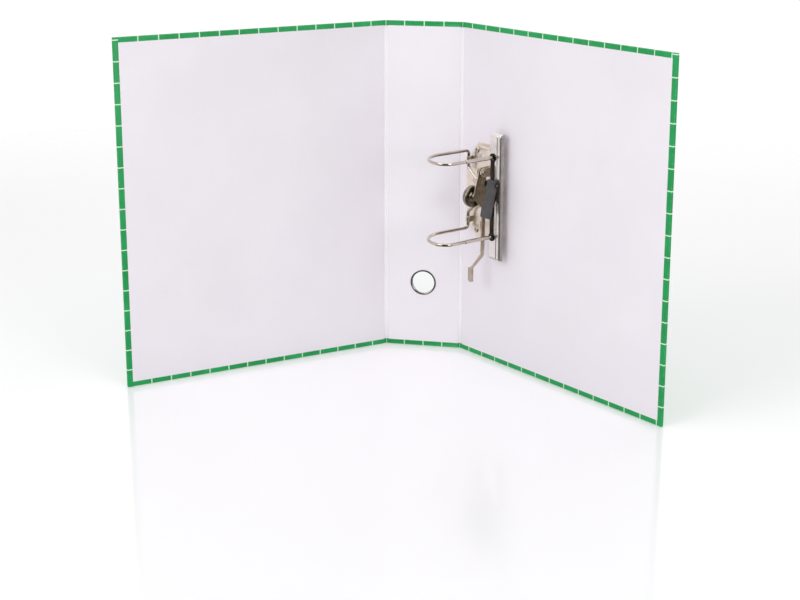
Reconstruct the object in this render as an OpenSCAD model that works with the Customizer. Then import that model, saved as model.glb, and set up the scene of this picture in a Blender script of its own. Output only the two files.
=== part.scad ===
// Lever arch file: a foolscap board file with a two-ring lever arch mechanism.
// Origin: middle of the spine's bottom edge. X runs along the spine, -Y faces the reader, Z is up.
// The back cover (at +X) carries the mechanism. Lengths are in millimetres, angles in degrees.

/* [File] */
// overall height of the file
file_h = 340; // [250:1:420]
// width of each cover, from its fold to its free edge
cover_w = 285; // [210:1:340]
// spine width, from fold to fold
spine_w = 80; // [60:1:100]
// thickness of the grey board
board_t = 2.2; // [1.6:0.1:3]
// thickness of the covering paper and of the lining paper
paper_t = 0.3; // [0.15:0.05:0.4]
// width of the covering paper turned in along the edges
turn_in = 5.3; // [4:0.1:20]
// width of the pressed crease at each fold
crease_w = 6; // [4:0.5:8]
// thickness of the pressed crease
crease_t = 0.9; // [0.6:0.1:1.4]

/* [Opening] */
// angle of the front cover out of the spine's plane
front_open = 40.5; // [0:0.5:90]
// angle of the back cover out of the spine's plane
back_open = 40.5; // [0:0.5:90]

/* [Thumb hole] */
// height of the thumb hole's centre
thumb_z = 69; // [50:1:100]
// radius of the clear hole through the metal ring
thumb_r = 11.5; // [9:0.1:14]
// wall thickness of the ring's barrel
barrel_t = 0.5; // [0.3:0.1:1]

/* [Arches] */
// distance between the two arches
ring_pitch = 80; // [70:1:108]
// wire diameter of the arches
wire_d = 3.2; // [2.6:0.1:4]
// distance of the posts from the fold
post_u = 61; // [56:0.5:66]
// distance of the arch pivot from the fold
pivot_u = 18; // [15:0.5:22]
// height of the arch pivot over the cover
pivot_n = 6; // [5.5:0.1:8]
// radius of the posts
post_r = 1.9; // [1.6:0.1:2.4]
// height of the posts
post_h = 46; // [36:1:50]

/* [Lever] */
// distance of the lever from the fold
lever_u = 43; // [40:0.5:46]
// thickness of the lever strip
lever_t = 2; // [1.5:0.1:2.4]
// depth of the lever strip
lever_d = 4; // [3:0.1:6]
// length of the lever, from its pivot to the finger tab's end
lever_len = 111; // [105:1:125]
// radius of the pressing roller
roller_r = 11; // [9:0.1:11.5]
// thickness of the pressing roller
roller_t = 5; // [3:0.1:5.5]

/* [Compressor bar] */
// length of the compressor bar
bar_len = 127; // [118:1:150]
// width of the compressor bar
bar_w = 16.5; // [15:0.5:20]
// height of the bar's top face over the cover
bar_n = 11.2; // [10:0.1:14]

/* [Hidden] */
$fn = 64;
half_t = board_t / 2;
skin = half_t + paper_t;
fold_x = spine_w / 2;
crease_half = crease_w / 2;
mech_z = file_h * 0.512;
arch_y = ring_pitch / 2;
bend_reach = 0.2;
bend_swell = 0.02;

// thumb ring
barrel_r = thumb_r + barrel_t;
ring_hole_r = barrel_r + 0.05;
outer_lip_r = thumb_r + 3.5;
inner_lip_r = thumb_r + 1.9;
lip_t = 0.8;

// base plate
plate_t = 1.5;
plate_left = 10;
plate_right = 65;
plate_step = 22;
plate_end = arch_y + 9;
lobe_u = 27.5;
bearing_y = arch_y - 9;
bearing_len = 6;
wire_r = wire_d / 2;
running = 0.05;
curl_r = wire_r + running + 1;
rivet_r = 2;
rivet_head_r = 3.2;
rivet_outer_r = 4.5;
rivet_u = 26;
rivet_y = arch_y + 1;
hidden_rivet_u = 60;
hidden_rivet_y = 28;

// arches
arch_top = spine_w - 7;
small_r = 12;
top_straight = 1;
big_r = post_u - pivot_u - small_r - top_straight;
corner_bend = 3.5;
crank_bend = 5;
crank_y = arch_y - 17;
crank_end_y = 6;
crank_u = lever_u - lever_t / 2 - 1 - roller_t / 2;
crank_drop = 1.1;
butt_gap = 0.3;

// lever
pin_y = 22;
pin_n = 9.5;
pin_r = 2;
pin_head_r = 3;
ear_t = 1.4;
ear_gap = 1.3;
ear_r = 4.5;
hub_r = 5;
roller_y = -2;
roller_n = pivot_n - crank_drop + wire_r + 0.3 + roller_r;
roller_pin_r = 2;
arm_n = 7.8;
kick_y = -62;
tab_y = -75;
tab_n = 22;
tab_w = 6.6;
tab_t = 1.8;
lever_tip_y = pin_y - lever_len;

// compressor bar
bar_t = 1.2;
bar_edge = 2.5;
bar_left = post_u - 5.5;
bar_right = bar_left + bar_w;
flange_n = 6.5;
rail_w = 6.5;
notch_in = 19;
notch_out = arch_y - 4;
post_clear = 0.5;
latch_y = 14;
latch_n = bar_n + 3.3;
latch_pin_r = 1;
latch_w = 12.6;
latch_ear_t = 1.2;
latch_mid = (bar_left + bar_right) / 2;
lock_t = 1;
lock_w = 5;

// ---------- frames ----------

// front cover: X runs back to the fold, so the cover lies at negative X
module on_front() {
  translate([-fold_x, 0, 0])
    rotate([0, 0, front_open])
      children();
}

// back cover: X runs from the fold to the free edge
module on_back() {
  translate([fold_x, 0, 0])
    rotate([0, 0, -back_open])
      children();
}

// mechanism: X from the fold, Y up the cover from the mechanism's middle, Z out of the lining
module on_mech() {
  on_back()
    translate([0, -skin, mech_z])
      rotate([90, 0, 0])
        children();
}

// ---------- helpers ----------

// a box from one corner to the opposite one
module span(low, high) {
  translate(low)
    cube(high - low);
}

// a round rod between two points
module rod(a, b, r) {
  d = b - a;
  translate(a)
    rotate([0, acos(d[2] / norm(d)), atan2(d[1], d[0])])
      cylinder(h = norm(d), r = r);
}

// a cylinder along X between two X values
module cross_pin(x0, x1, y, z, r) {
  translate([x0, y, z])
    rotate([0, 90, 0])
      cylinder(h = x1 - x0, r = r);
}

// an outline in Y and Z, extruded along X between two X values
module side_plate(x0, x1, outline) {
  translate([x0, 0, 0])
    rotate([90, 0, 90])
      linear_extrude(height = x1 - x0)
        polygon(outline);
}

// a direction of length one
function unit(v) = v / norm(v);

// how far a bend at point b, of centre radius r, starts before it
function setback(a, b, c, r) = r * tan(acos(unit(b - a) * unit(c - b)) / 2);

// the bent length of rod at point b, between straights from a and to c
module rod_bend(a, b, c, bend_r, r) {
  along = unit(b - a);
  out = unit(c - b);
  turn = acos(along * out);
  inward = unit(out - along * (along * out));
  axis = cross(-inward, along);
  middle = b - along * setback(a, b, c, bend_r) + inward * bend_r;
  multmatrix([
    [-inward[0], along[0], axis[0], middle[0]],
    [-inward[1], along[1], axis[1], middle[1]],
    [-inward[2], along[2], axis[2], middle[2]],
    [0, 0, 0, 1]
  ])
    rotate_extrude(angle = turn)
      translate([bend_r, 0])
        circle(r = r);
}

// a round wire through the points of a path, bent at each inner point; the straights reach a
// little way into the bends, which are a hair thicker
module bent_wire(path, bends, r) {
  last = len(path) - 1;
  cut = [
    for (i = [0:last])
      i == 0 || i == last
        ? 0
        : setback(path[i - 1], path[i], path[i + 1], bends[i]) - bend_reach
  ];
  for (i = [0:last - 1]) {
    along = unit(path[i + 1] - path[i]);
    rod(path[i] + along * cut[i], path[i + 1] - along * cut[i + 1], r);
  }
  for (i = [1:last - 1])
    rod_bend(path[i - 1], path[i], path[i + 1], bends[i], r + bend_swell);
}

// ---------- boards and papers ----------

// a grey board between two X values
module board(x0, x1) {
  span([x0, -half_t, paper_t], [x1, half_t, file_h - paper_t]);
}

// covering paper on the outer face, folded round the top and bottom edges
module cover_sheet(x0, x1) {
  difference() {
    span([x0, -skin, 0], [x1, skin, file_h]);
    board(x0 - 1, x1 + 1);
    span([x0 - 1, -skin - 1, turn_in], [x1 + 1, -half_t, file_h - turn_in]);
  }
}

// a cover's paper, folded round the free edge as well; the cover runs from the fold to +X
module wrapped_sheet() {
  difference() {
    span([crease_half, -skin, 0], [cover_w, skin, file_h]);
    board(crease_half - 1, cover_w - paper_t);
    span(
      [crease_half - 1, -skin - 1, turn_in],
      [cover_w - turn_in, -half_t, file_h - turn_in]
    );
  }
}

// lining paper on the inner face, between the turned-in edges
module lining_sheet(x0, x1) {
  span([x0, -skin, turn_in], [x1, -half_t, file_h - turn_in]);
}

// the hole through the spine for the thumb ring
module thumb_cut() {
  translate([0, skin + 1, thumb_z])
    rotate([90, 0, 0])
      cylinder(h = 2 * skin + 2, r = ring_hole_r);
}

// the shanks' holes through the back cover
module rivet_holes() {
  rotate([90, 0, 0])
    for (p = rivet_places())
      translate([p[0], mech_z + p[1], -skin - 1])
        cylinder(h = 2 * skin + 2, r = rivet_r);
}

function rivet_places() = [
  [rivet_u, rivet_y],
  [rivet_u, -rivet_y],
  [hidden_rivet_u, hidden_rivet_y],
  [hidden_rivet_u, -hidden_rivet_y]
];

module spine_board() {
  color([0.62, 0.6, 0.56])
    difference() {
      board(-fold_x + crease_half, fold_x - crease_half);
      thumb_cut();
    }
}

module front_board() {
  color([0.62, 0.6, 0.56])
    on_front()
      board(paper_t - cover_w, -crease_half);
}

module back_board() {
  color([0.62, 0.6, 0.56])
    on_back()
      difference() {
        board(crease_half, cover_w - paper_t);
        rivet_holes();
      }
}

module spine_cover_paper() {
  color([0.02, 0.4, 0.1])
    difference() {
      cover_sheet(-fold_x + crease_half, fold_x - crease_half);
      thumb_cut();
    }
}

module front_cover_paper() {
  color([0.02, 0.4, 0.1])
    on_front()
      mirror([1, 0, 0])
        wrapped_sheet();
}

module back_cover_paper() {
  color([0.02, 0.4, 0.1])
    on_back()
      difference() {
        wrapped_sheet();
        rivet_holes();
      }
}

module spine_lining() {
  color([0.9, 0.88, 0.92])
    difference() {
      lining_sheet(-fold_x + crease_half, fold_x - crease_half);
      thumb_cut();
    }
}

module front_lining() {
  color([0.9, 0.88, 0.92])
    on_front()
      lining_sheet(turn_in - cover_w, -crease_half);
}

module back_lining() {
  color([0.9, 0.88, 0.92])
    on_back()
      difference() {
        lining_sheet(crease_half, cover_w - turn_in);
        rivet_holes();
      }
}

// pressed paper and board across one fold, bent to the cover's angle; the cover is at +X
module hinge_strip(angle) {
  linear_extrude(height = file_h) {
    translate([-crease_half, -crease_t / 2])
      square([crease_half, crease_t]);
    rotate(-angle)
      translate([0, -crease_t / 2])
        square([crease_half, crease_t]);
    circle(r = crease_t / 2);
  }
}

module front_hinge_strip() {
  color([0.85, 0.83, 0.87])
    mirror([1, 0, 0])
      translate([fold_x, 0, 0])
        hinge_strip(front_open);
}

module back_hinge_strip() {
  color([0.85, 0.83, 0.87])
    translate([fold_x, 0, 0])
      hinge_strip(back_open);
}

// ---------- thumb ring ----------

// the eyelet: a barrel through the spine with a rounded flange on the outside
module thumb_ring() {
  color([0.75, 0.75, 0.77])
    translate([0, skin, thumb_z])
      rotate([90, 0, 0])
        rotate_extrude() {
          translate([thumb_r, -lip_t])
            square([barrel_t, 2 * skin + 2 * lip_t]);
          translate([thumb_r, -lip_t])
            square([outer_lip_r - thumb_r - lip_t / 2, lip_t]);
          translate([outer_lip_r - lip_t / 2, -lip_t / 2])
            circle(r = lip_t / 2);
        }
}

// the ring pressed over the barrel on the inside
module thumb_ring_washer() {
  color([0.75, 0.75, 0.77])
    translate([0, -skin, thumb_z])
      rotate([90, 0, 0])
        rotate_extrude() {
          translate([barrel_r, 0])
            square([inner_lip_r - barrel_r - lip_t / 2, lip_t]);
          translate([inner_lip_r - lip_t / 2, lip_t / 2])
            circle(r = lip_t / 2);
        }
}

// ---------- mechanism: fixed pieces ----------

// one rolled bearing for the arch wire, with its foot on the plate
module wire_bearing(side) {
  translate([0, side * bearing_y, 0]) {
    translate([pivot_u, bearing_len / 2, pivot_n])
      rotate([90, 0, 0])
        cylinder(h = bearing_len, r = curl_r);
    span(
      [pivot_u - 0.8, -bearing_len / 2, 0],
      [pivot_u + 0.8, bearing_len / 2, pivot_n - curl_r + 0.6]
    );
    span(
      [pivot_u - 0.8, -bearing_len / 2, 0],
      [plate_step + 1, bearing_len / 2, plate_t]
    );
  }
}

// one upright ear that holds the lever's pin
module lever_ear(x0) {
  span([x0, pin_y - ear_r, 0], [x0 + ear_t, pin_y + ear_r, pin_n]);
  cross_pin(x0, x0 + ear_t, pin_y, pin_n, ear_r);
}

module base_plate() {
  color([0.78, 0.74, 0.68])
    on_mech()
      difference() {
        union() {
          linear_extrude(height = plate_t)
            polygon([
              [plate_left, crank_y - 1],
              [plate_left, 1 - crank_y],
              [plate_left + 2, 2 - arch_y],
              [plate_left + 19, -plate_end],
              [plate_right, -plate_end],
              [plate_right, plate_end],
              [lobe_u, plate_end],
              [plate_step, arch_y + 2],
              [plate_step, crank_y - 1]
            ]);
          wire_bearing(1);
          wire_bearing(-1);
          lever_ear(lever_u - lever_t / 2 - ear_gap - ear_t);
          lever_ear(lever_u + lever_t / 2 + ear_gap);
        }
        // wire bore, lever pin bore, rivet and post holes, and one open hole
        translate([pivot_u, arch_y, pivot_n])
          rotate([90, 0, 0])
            cylinder(h = ring_pitch, r = wire_r + running);
        cross_pin(lever_u - 10, lever_u + 10, pin_y, pin_n, pin_r);
        for (p = rivet_places())
          translate([p[0], p[1], -1])
            cylinder(h = plate_t + 2, r = rivet_r);
        for (side = [-1, 1])
          translate([post_u, side * arch_y, -1])
            cylinder(h = plate_t + 2, r = post_r);
        translate([plate_step, 9, -1])
          cylinder(h = plate_t + 2, r = 2);
      }
}

// rivets through the plate and the back cover, with flat heads on the outside
module mechanism_rivets() {
  color([0.7, 0.68, 0.64])
    on_mech()
      for (p = rivet_places())
        translate([p[0], p[1], 0]) {
          translate([0, 0, -2 * skin - 0.1])
            cylinder(h = 2 * skin + plate_t + 0.2, r = rivet_r);
          translate([0, 0, plate_t])
            cylinder(h = 1, r1 = rivet_head_r, r2 = rivet_head_r - 0.8);
          translate([0, 0, -2 * skin - 0.7])
            cylinder(h = 0.7, r1 = rivet_outer_r - 0.5, r2 = rivet_outer_r);
        }
}

module post(side) {
  on_mech()
    translate([post_u, side * arch_y, 0]) {
      cylinder(h = post_h - 0.5, r = post_r);
      translate([0, 0, post_h - 0.5])
        cylinder(h = 0.5, r1 = post_r, r2 = post_r - 0.4);
    }
}

module upper_post() {
  color([0.75, 0.73, 0.7])
    post(1);
}

module lower_post() {
  color([0.75, 0.73, 0.7])
    post(-1);
}

// ---------- mechanism: moving arches ----------

// both arches and the crank between them, bent from one wire
module arch_wire() {
  crank_n = pivot_n - crank_drop;
  half_path = [
    [post_u, arch_y, post_h + butt_gap],
    [post_u, arch_y, arch_top],
    [pivot_u, arch_y, arch_top],
    [pivot_u, arch_y, pivot_n],
    [pivot_u, crank_y, pivot_n],
    [crank_u, crank_end_y, crank_n]
  ];
  half_bends = [0, small_r, big_r, corner_bend, crank_bend, crank_bend];
  count = len(half_path);
  path = [
    for (i = [0:2 * count - 1])
      i < count
        ? half_path[i]
        : [for (k = [0:2]) half_path[2 * count - 1 - i][k] * (k == 1 ? -1 : 1)]
  ];
  bends = [for (i = [0:2 * count - 1]) half_bends[i < count ? i : 2 * count - 1 - i]];
  color([0.78, 0.76, 0.74])
    on_mech()
      bent_wire(path, bends, wire_r);
}

// leaf spring on the plate that lifts the crank
module arch_spring() {
  tip_n = pivot_n - crank_drop - wire_r - 0.1;
  color([0.6, 0.58, 0.54])
    on_mech()
      translate([0, 4, 0])
        rotate([90, 0, 0])
          linear_extrude(height = 8)
            polygon([
              [plate_left + 16, plate_t],
              [plate_left + 16, plate_t + 0.5],
              [plate_left + 20, plate_t + 0.5],
              [crank_u + 2, tip_n],
              [crank_u + 2, tip_n - 0.5],
              [plate_left + 20, plate_t]
            ]);
}

// ---------- mechanism: lever and roller ----------

module lever() {
  x0 = lever_u - lever_t / 2;
  x1 = lever_u + lever_t / 2;
  color([0.76, 0.73, 0.68])
    on_mech()
      difference() {
        union() {
          cross_pin(x0, x1, pin_y, pin_n, hub_r);
          cross_pin(x0, x1, roller_y, roller_n, hub_r - 1);
          side_plate(x0, x1, [
            [pin_y, pin_n - hub_r],
            [pin_y, pin_n + hub_r],
            [roller_y + 3, roller_n + 2.6],
            [roller_y - 4, roller_n],
            [roller_y - 12, arm_n + lever_d / 2],
            [kick_y, arm_n + lever_d / 2],
            [tab_y + 1, tab_n + tab_t / 2],
            [tab_y, tab_n + tab_t / 2],
            [tab_y, tab_n - tab_t / 2],
            [kick_y - 2, arm_n - lever_d / 2 + 1],
            [kick_y, arm_n - lever_d / 2]
          ]);
          span(
            [lever_u - 1 - tab_w / 2, lever_tip_y + 1, tab_n - tab_t / 2],
            [lever_u - 1 + tab_w / 2, tab_y + 1, tab_n + tab_t / 2]
          );
          translate([lever_u - 1, lever_tip_y + tab_w / 2, tab_n - tab_t / 2])
            cylinder(h = tab_t, r = tab_w / 2);
        }
        cross_pin(x0 - 1, x1 + 1, pin_y, pin_n, pin_r + running);
      }
}

module lever_pin() {
  x0 = lever_u - lever_t / 2 - ear_gap - ear_t;
  x1 = lever_u + lever_t / 2 + ear_gap + ear_t;
  color([0.7, 0.68, 0.64])
    on_mech() {
      cross_pin(x0 - 0.5, x1 + 0.5, pin_y, pin_n, pin_r);
      cross_pin(x0 - 0.8, x0, pin_y, pin_n, pin_head_r);
      cross_pin(x1, x1 + 0.8, pin_y, pin_n, pin_head_r);
    }
}

// the roller presses the crank down; both faces are dished
module roller() {
  color([0.35, 0.34, 0.32])
    on_mech()
      translate([crank_u - roller_t / 2, roller_y, roller_n])
        rotate([0, 90, 0])
          rotate_extrude()
            polygon([
              [roller_pin_r + running, 0],
              [4, 0],
              [4.5, 1],
              [roller_r - 2.5, 1],
              [roller_r - 2, 0],
              [roller_r - 0.6, 0],
              [roller_r, 0.6],
              [roller_r, roller_t - 0.6],
              [roller_r - 0.6, roller_t],
              [roller_r - 2, roller_t],
              [roller_r - 2.5, roller_t - 1],
              [4.5, roller_t - 1],
              [4, roller_t],
              [roller_pin_r + running, roller_t]
            ]);
}

// the rivet that holds the roller on the lever
module roller_rivet() {
  x0 = crank_u - roller_t / 2 - 0.3;
  x1 = lever_u - lever_t / 2;
  color([0.7, 0.68, 0.64])
    on_mech() {
      cross_pin(x0 - 0.5, x1, roller_y, roller_n, roller_pin_r);
      cross_pin(x0 - 1.1, x0, roller_y, roller_n, roller_pin_r + 1.2);
    }
}

// ---------- mechanism: compressor bar ----------

// folded steel bar with one long rail, two ends for the posts and a middle bridge
module compressor_bar() {
  half = bar_len / 2;
  face_n = bar_n - bar_t;
  color([0.78, 0.78, 0.76])
    on_mech()
      difference() {
        union() {
          span([bar_right - rail_w, -half, face_n], [bar_right, half, bar_n]);
          span([bar_left, -notch_in, face_n], [bar_right, notch_in, bar_n]);
          span([bar_left, notch_out, face_n], [bar_right, half, bar_n]);
          span([bar_left, -half, face_n], [bar_right, -notch_out, bar_n]);
          span([bar_right - bar_t, -half, flange_n], [bar_right, half, bar_n]);
          span([bar_left, notch_out, flange_n], [bar_left + bar_t, half, bar_n]);
          span([bar_left, -half, flange_n], [bar_left + bar_t, -notch_out, bar_n]);
          span([bar_left, -notch_in, flange_n], [bar_left + bar_t, notch_in, bar_n]);
          for (x0 = [latch_mid - latch_w / 2 - 0.3 - latch_ear_t, latch_mid + latch_w / 2 + 0.3]) {
            span([x0, latch_y - 3.5, face_n], [x0 + latch_ear_t, latch_y + 3.5, latch_n]);
            cross_pin(x0, x0 + latch_ear_t, latch_y, latch_n, 3);
          }
        }
        for (side = [-1, 1])
          translate([post_u, side * arch_y, 0])
            cylinder(h = bar_n + 1, r = post_r + post_clear);
        cross_pin(bar_left - 5, bar_right + 5, latch_y, latch_n, latch_pin_r);
      }
}

// dark spring-steel strip on the bar, with an eye round each post
module lock_strip() {
  color([0.09, 0.09, 0.1])
    on_mech()
      difference() {
        union() {
          span(
            [post_u - lock_w / 2, -arch_y, bar_n],
            [post_u + lock_w / 2, arch_y, bar_n + lock_t]
          );
          for (side = [-1, 1])
            translate([post_u, side * arch_y, bar_n])
              cylinder(h = lock_t, r = 4.2);
        }
        for (side = [-1, 1])
          translate([post_u, side * arch_y, bar_n - 1])
            cylinder(h = lock_t + 2, r = post_r + post_clear);
      }
}

// plastic thumb latch, pinned at its top, with its free end standing off the bar
module latch() {
  color([0.08, 0.085, 0.095])
    on_mech()
      difference() {
        union() {
          side_plate(latch_mid - latch_w / 2, latch_mid + latch_w / 2, [
            [latch_y + 4.5, latch_n - 1.4],
            [latch_y + 4.5, latch_n + 0.8],
            [latch_y - 6, latch_n + 3],
            [latch_y - 28, latch_n + 9],
            [latch_y - 31.5, latch_n + 9.6],
            [latch_y - 33, latch_n + 8.6],
            [latch_y - 33, latch_n + 6.6],
            [latch_y - 29, latch_n + 5],
            [latch_y - 6, latch_n - 0.3],
            [latch_y - 3, latch_n - 1.4]
          ]);
        }
        cross_pin(bar_left - 5, bar_right + 5, latch_y, latch_n, latch_pin_r + running);
      }
}

module latch_pin() {
  color([0.7, 0.68, 0.64])
    on_mech()
      cross_pin(
        latch_mid - latch_w / 2 - 0.3 - latch_ear_t,
        latch_mid + latch_w / 2 + 0.3 + latch_ear_t,
        latch_y,
        latch_n,
        latch_pin_r
      );
}

// small leaf spring on the bar that holds the latch off
module latch_spring() {
  x0 = post_u + lock_w / 2 + 0.5;
  color([0.6, 0.58, 0.54])
    on_mech()
      side_plate(x0, x0 + 3, [
        [latch_y - 9, bar_n],
        [latch_y - 9, bar_n + 0.4],
        [latch_y - 14, bar_n + 0.4],
        [latch_y - 27, latch_n + 4.3],
        [latch_y - 27, latch_n + 3.9],
        [latch_y - 14, bar_n]
      ]);
}

spine_board();
front_board();
back_board();
spine_cover_paper();
front_cover_paper();
back_cover_paper();
spine_lining();
front_lining();
back_lining();
front_hinge_strip();
back_hinge_strip();
thumb_ring();
thumb_ring_washer();
base_plate();
mechanism_rivets();
upper_post();
lower_post();
arch_wire();
arch_spring();
lever();
lever_pin();
roller();
roller_rivet();
compressor_bar();
lock_strip();
latch();
latch_pin();
latch_spring();
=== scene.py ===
import math

import bmesh
import bpy
from mathutils import Matrix, Vector


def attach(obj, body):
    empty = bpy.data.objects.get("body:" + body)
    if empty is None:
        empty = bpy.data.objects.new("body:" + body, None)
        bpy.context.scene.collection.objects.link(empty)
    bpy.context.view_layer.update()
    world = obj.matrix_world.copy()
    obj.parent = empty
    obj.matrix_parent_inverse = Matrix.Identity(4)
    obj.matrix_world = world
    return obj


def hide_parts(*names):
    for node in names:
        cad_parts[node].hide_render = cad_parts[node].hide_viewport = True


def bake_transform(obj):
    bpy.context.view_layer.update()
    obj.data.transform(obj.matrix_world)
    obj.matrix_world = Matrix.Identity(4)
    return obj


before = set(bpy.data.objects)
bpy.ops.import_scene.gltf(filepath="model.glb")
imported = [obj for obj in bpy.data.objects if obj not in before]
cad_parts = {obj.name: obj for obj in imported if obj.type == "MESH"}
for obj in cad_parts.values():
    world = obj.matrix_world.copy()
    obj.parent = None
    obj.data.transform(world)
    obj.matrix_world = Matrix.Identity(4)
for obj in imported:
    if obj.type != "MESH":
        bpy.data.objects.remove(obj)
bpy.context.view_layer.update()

# ---------------------------------------------------------------- sizes, in millimetres, as in the CAD source

MM = 0.001  # metres in a millimetre

# the case
FILE_H = 340.0
COVER_W = 285.0
HALF_SPINE = 40.0
OPEN_ANGLE = math.radians(40.5)  # how far each cover stands back from the spine's plane
CREASE = 3.0  # half the width of a hinge
HALF_T = 1.4  # half a panel's thickness, board and papers
SKIN = 0.28  # printed paper
TURN_IN = 5.3  # printed paper seen on the inside
EDGE_R = 0.75  # rounding of the paper over a board's edge
LINING_N = 1.46  # top of the lining, from the panel's middle
LAP = 0.35  # how far the lining and the side strips lap over what lies under them
GROOVE_N = 0.45  # outer paper, pressed in at a hinge
GROOVE_SHARE = 0.72  # the groove's share of the hinge's width
BEAD_RISE = 0.45  # the hinge's bead over the lining
BEAD_FOOT = 0.6  # depth of the line pressed beside the bead
BEAD_SHARE = 0.74  # the bead's share of the hinge's width

# the printed grid
CELL = 20.0
LINE_W = 1.05
LINE_BLUR = 0.12
LINE_WANDER = 0.22
BACK_START, FRONT_START = 45.5, 43.3  # the sheet's measure at each fold, with the paper the hinge takes up
COVER_RATE = 0.985  # the lines lie 1.5% further apart over the covers
GRID_DROP, GRID_CLIMB = 1.3, 1.2  # how low the lines lie at the right edge, and how far they climb toward it

# the thumb ring
THUMB_Z = 69.0
THUMB_HOLE_R = 12.0

# the mechanism: u from the fold, z from the middle of the plate and n from the lining
MECH_Z = 174.08
RIVET_PLACES = ((26, 41), (26, -41), (60, 28), (60, -28))
POST_U, POST_Z = 61, 40
ARCH_N = 73  # height of the arches
BUTT_N = 46.3  # where an arch meets its post
PIVOT_U, PIVOT_N = 18, 6
CRANK_OUT_Z = 23  # where the crank leaves the pivot line
CRANK_U, CRANK_Z, CRANK_N = 38.5, 6, 4.9
ARCH_BENDS = [12, 30, 3.5, 5, 5]  # from the post to the crank
WIRE_R = 1.6
LEVER_PIN = (0, 22, 9.5)
ROLLER_AT = (0, -2, 17.8)
ROLLER_R = 11.0
ROLLER_LEFT, ROLLER_RIGHT = 36.0, 41.0
PLATE_N = 1.45  # just under the top of the base plate
BAR_TOP = 10.6
BAR_T = 1.2
BAR_HOLE_R = 2.4
WINDOW_FROM, WINDOW_TO = 19, 36  # the bar's windows, along it


# ---------------------------------------------------------------- frames of the three panels

def basis(across, inward, origin):
    """Matrix from (across, up, inward) in millimetres to the row frame in metres."""
    up = Vector((0, 0, 1))
    m = Matrix.Identity(4)
    for column, axis in enumerate((across, up, inward)):
        for row in range(3):
            m[row][column] = axis[row] * MM
    for row in range(3):
        m[row][3] = origin[row] * MM
    return m


COS, SIN = math.cos(OPEN_ANGLE), math.sin(OPEN_ANGLE)
SPINE = basis(Vector((1, 0, 0)), Vector((0, -1, 0)), (0, 0, 0))
BACK = basis(Vector((COS, -SIN, 0)), Vector((-SIN, -COS, 0)), (HALF_SPINE, 0, 0))
FRONT = basis(Vector((-COS, -SIN, 0)), Vector((SIN, -COS, 0)), (-HALF_SPINE, 0, 0))
MECH = BACK @ Matrix.Translation((0, MECH_Z, HALF_T))
X, Z, N = Vector((1, 0, 0)), Vector((0, 1, 0)), Vector((0, 0, 1))  # across, up and inward in each of them


# ---------------------------------------------------------------- node helpers

def node(tree, kind, inputs=None, **settings):
    made = tree.nodes.new(kind)
    for key, value in settings.items():
        setattr(made, key, value)
    for key, value in (inputs or {}).items():
        if isinstance(value, bpy.types.NodeSocket):
            tree.links.new(value, made.inputs[key])
        else:
            made.inputs[key].default_value = value
    return made


def maths(tree, operation, a, b=0.0, c=0.0):
    return node(tree, "ShaderNodeMath", {0: a, 1: b, 2: c}, operation=operation).outputs[0]


def remap(tree, value, low, high, to_low, to_high):
    """Carries a value from one range to another, with soft ends."""
    inputs = {"Value": value, "From Min": low, "From Max": high, "To Min": to_low, "To Max": to_high}
    return node(tree, "ShaderNodeMapRange", inputs, interpolation_type="SMOOTHSTEP").outputs[0]


def mix(tree, share, a, b):
    made = node(tree, "ShaderNodeMix", data_type="RGBA")
    for socket, value in ((made.inputs[0], share), (made.inputs[6], a), (made.inputs[7], b)):
        if isinstance(value, bpy.types.NodeSocket):
            tree.links.new(value, socket)
        else:
            socket.default_value = value
    return made.outputs[2]


def noise(tree, place, scale, detail=3.0, rough=0.55, stretch=None):
    """Noise over a place, drawn out along the axes that stretch makes small."""
    if stretch:
        place = node(tree, "ShaderNodeMapping", {"Vector": place, "Scale": stretch}).outputs[0]
    inputs = {"Vector": place, "Scale": scale, "Detail": detail, "Roughness": rough}
    return node(tree, "ShaderNodeTexNoise", inputs).outputs["Fac"]


def material(name):
    """A new material with its tree, its Principled shader and its texture coordinates."""
    made = bpy.data.materials.new(name)
    made.use_nodes = True
    tree = made.node_tree
    place = node(tree, "ShaderNodeTexCoord")
    return made, tree, tree.nodes["Principled BSDF"], place


def feed(tree, shader, **links):
    """Links sockets to the shader's inputs. An underscore stands for a space in an input's name."""
    for key, socket in links.items():
        tree.links.new(socket, shader.inputs[key.replace("_", " ")])


def bump(tree, height, distance, strength=1.0, under=None):
    inputs = {"Height": height, "Distance": distance, "Strength": strength}
    if under:
        inputs["Normal"] = under
    return node(tree, "ShaderNodeBump", inputs).outputs[0]


def srgb(red, green, blue):
    linear = [c / 255 / 12.92 if c <= 10 else ((c / 255 + 0.055) / 1.055) ** 2.4 for c in (red, green, blue)]
    return (*linear, 1.0)


# ---------------------------------------------------------------- materials

def line_mask(tree, along, width, soft):
    """1 on the printed lines, which lie a cell apart, and 0 between them."""
    gap = maths(tree, "PINGPONG", along, CELL * MM / 2)
    return remap(tree, gap, width / 2 + soft, width / 2 - soft, 0.0, 1.0)


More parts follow.
